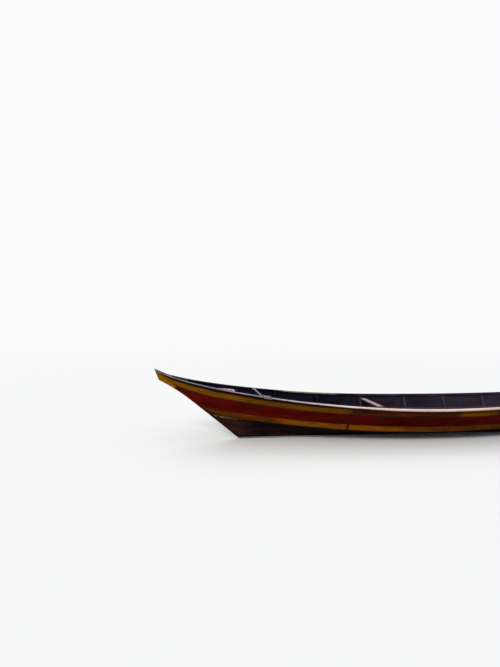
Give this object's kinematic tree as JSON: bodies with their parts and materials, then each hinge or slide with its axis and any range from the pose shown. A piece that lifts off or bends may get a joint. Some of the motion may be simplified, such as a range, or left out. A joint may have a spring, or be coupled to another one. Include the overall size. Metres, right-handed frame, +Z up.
{
  "type": "plank-built wooden fishing canoe",
  "caption": "Long narrow planked wooden fishing boat with a hard-chine V bottom, raked pointed ends, sawn frames, thwarts and painted strakes; it floats on water.",
  "frame": {"origin": "amidships on the centreline at the waterline with a light load, 250 mm above the underside of the keel shoe", "axes": "+X to the bow, +Y to port, +Z up"},
  "size_m": [10.0392, 1.6846, 1.289],
  "materials": {
    "yellow_paint": "matt oil paint, chipped",
    "brown_paint": "thin oil paint, worn to the wood",
    "red_paint": "matt oil paint, chipped",
    "orange_paint": "matt oil paint, stained",
    "tarred_wood": "tarred and wet-stained",
    "weathered_rail": "bare weathered wood",
    "worn_shoe": "bare wood, scraped pale",
    "dark_inside": "dark oil paint, worn",
    "bare_wood": "bare sun-bleached wood"
  },
  "bodies": {
    "root": {"bilge_strake_aft_port": "tarred_wood", "bilge_strake_aft_starboard": "tarred_wood", "bilge_strake_fore_port": "tarred_wood", "bilge_strake_fore_starboard": "tarred_wood", "bow_platform": "bare_wood", "butt_blocks": "dark_inside", "fore_thwart": "bare_wood", "frame_1": "dark_inside", "frame_2": "dark_inside", "frame_3": "dark_inside", "frame_4": "dark_inside", "frame_5": "dark_inside", "frame_6": "dark_inside", "frame_7": "dark_inside", "frame_8": "dark_inside", "frame_9": "dark_inside", "garboard_aft_port": "tarred_wood", "garboard_aft_starboard": "tarred_wood", "garboard_fore_port": "tarred_wood", "garboard_fore_starboard": "tarred_wood", "inwale_port": "dark_inside", "inwale_starboard": "dark_inside", "keel": "tarred_wood", "keel_shoe": "worn_shoe", "lower_strake_aft_port": "orange_paint", "lower_strake_aft_starboard": "orange_paint", "lower_strake_fore_port": "orange_paint", "lower_strake_fore_starboard": "orange_paint", "main_thwart": "bare_wood", "middle_strake_aft_port": "red_paint", "middle_strake_aft_starboard": "red_paint", "middle_strake_fore_port": "red_paint", "middle_strake_fore_starboard": "red_paint", "prow_head": "yellow_paint", "rail_aft_port": "weathered_rail", "rail_aft_starboard": "weathered_rail", "rail_fore_port": "weathered_rail", "rail_fore_starboard": "weathered_rail", "sheer_strake_aft_port": "yellow_paint", "sheer_strake_aft_starboard": "yellow_paint", "sheer_strake_fore_port": "yellow_paint", "sheer_strake_fore_starboard": "yellow_paint", "sheer_strake_mid_port": "brown_paint", "sheer_strake_mid_starboard": "brown_paint", "stem": "yellow_paint", "stern_head": "yellow_paint", "stern_platform": "bare_wood", "stern_thwart": "bare_wood", "sternpost": "yellow_paint", "thwart_cleats": "dark_inside", "tie_bar": "bare_wood"}
  },
  "joints": []
}
